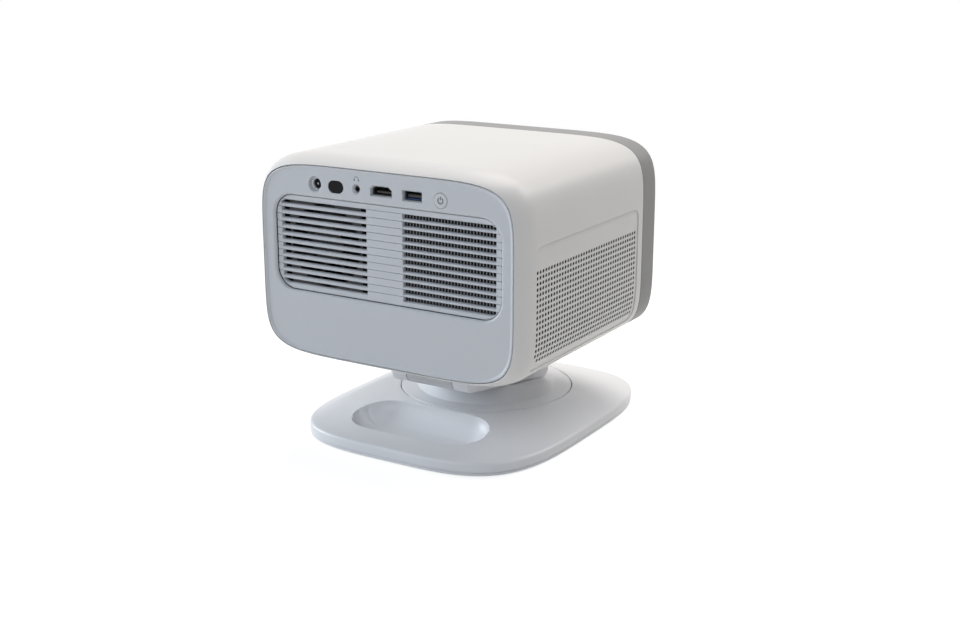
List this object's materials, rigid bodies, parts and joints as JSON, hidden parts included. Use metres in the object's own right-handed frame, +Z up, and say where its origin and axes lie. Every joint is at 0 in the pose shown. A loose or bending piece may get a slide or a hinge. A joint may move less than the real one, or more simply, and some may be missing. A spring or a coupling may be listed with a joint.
{
  "type": "projector",
  "caption": "Home projector: rounded box head with louvred socket panel, perforated sides and an offset lens, tilting and swivelling on a soft square base with a storage tray.",
  "frame": {"origin": "on the table under the middle of the base", "axes": "+Z up, +Y out of the socket panel at the rear, -Y the way the lens looks, +X to the left in a view from behind"},
  "size_m": [0.21, 0.2324, 0.2052],
  "materials": {
    "satin_white": "satin moulded",
    "panel_white": "satin moulded",
    "base_white": "satin moulded",
    "bezel_grey": "satin moulded",
    "dark_plastic": "matte moulded",
    "engine_plastic": "matte moulded",
    "driver_black": "matte cone and basket",
    "gloss_black": "polished tinted",
    "socket_steel": "plated",
    "steel": "plain",
    "painted_bracket": "satin paint",
    "alloy": "plain extruded",
    "board_green": "solder mask",
    "acetal": "smooth",
    "foot_rubber": "matte",
    "lens_glass": "polished coated"
  },
  "bodies": {
    "stand": {"base_shell": "base_white", "base_cover": "base_white", "ballast_plate": "steel", "swivel_washer": "acetal", "base_screw_1": "steel", "base_screw_2": "steel", "base_screw_3": "steel", "base_screw_4": "steel", "foot_1": "foot_rubber", "foot_2": "foot_rubber", "foot_3": "foot_rubber", "foot_4": "foot_rubber"},
    "turntable": {"turntable_disc": "base_white", "arm": "base_white", "arm_lid": "base_white", "swivel_shaft": "steel", "retaining_nut": "steel"},
    "head": {"main_shell": "satin_white", "rear_panel": "panel_white", "rear_grille": "panel_white", "front_bezel": "bezel_grey", "front_panel": "bezel_grey", "sensor_window": "gloss_black", "ir_window": "gloss_black", "dc_jack": "dark_plastic", "audio_jack": "dark_plastic", "video_port": "socket_steel", "data_port": "socket_steel", "main_board": "board_green", "lens_hood": "dark_plastic", "lens_barrel": "dark_plastic", "lens_element": "lens_glass", "light_engine": "engine_plastic", "heatsink": "alloy", "fan_frame": "dark_plastic", "speaker_grille_left": "satin_white", "speaker_grille_right": "satin_white", "speaker_driver_left": "driver_black", "speaker_driver_right": "driver_black", "hinge_bracket": "painted_bracket", "hinge_pin": "steel"},
    "power_button": {"power_button": "panel_white"},
    "fan_rotor": {"fan_rotor": "dark_plastic"},
    "focus_cell": {"focus_cell": "lens_glass"}
  },
  "joints": [
    {"name": "swivel", "type": "hinge", "parent": "stand", "child": "turntable", "pos_m": [0, -0.0155, 0.0202], "axis": [0, 0, 1], "continuous": true},
    {"name": "tilt", "type": "hinge", "parent": "turntable", "child": "head", "pos_m": [0, 0.0545, 0.0455], "axis": [-1, 0, 0], "range_deg": [0, 30]},
    {"name": "power_press", "type": "slide", "parent": "head", "child": "power_button", "axis": [0, -1, 0], "range_m": [0, 0.0006], "stiffness_N_per_m": 1500, "springref_m": -0.0003},
    {"name": "fan_spin", "type": "hinge", "parent": "head", "child": "fan_rotor", "pos_m": [0.0499, 0.103, 0.1437], "axis": [0, 1, 0], "continuous": true},
    {"name": "focus_slide", "type": "slide", "parent": "head", "child": "focus_cell", "axis": [0, 1, 0], "range_m": [-0.0015, 0.0015]}
  ]
}
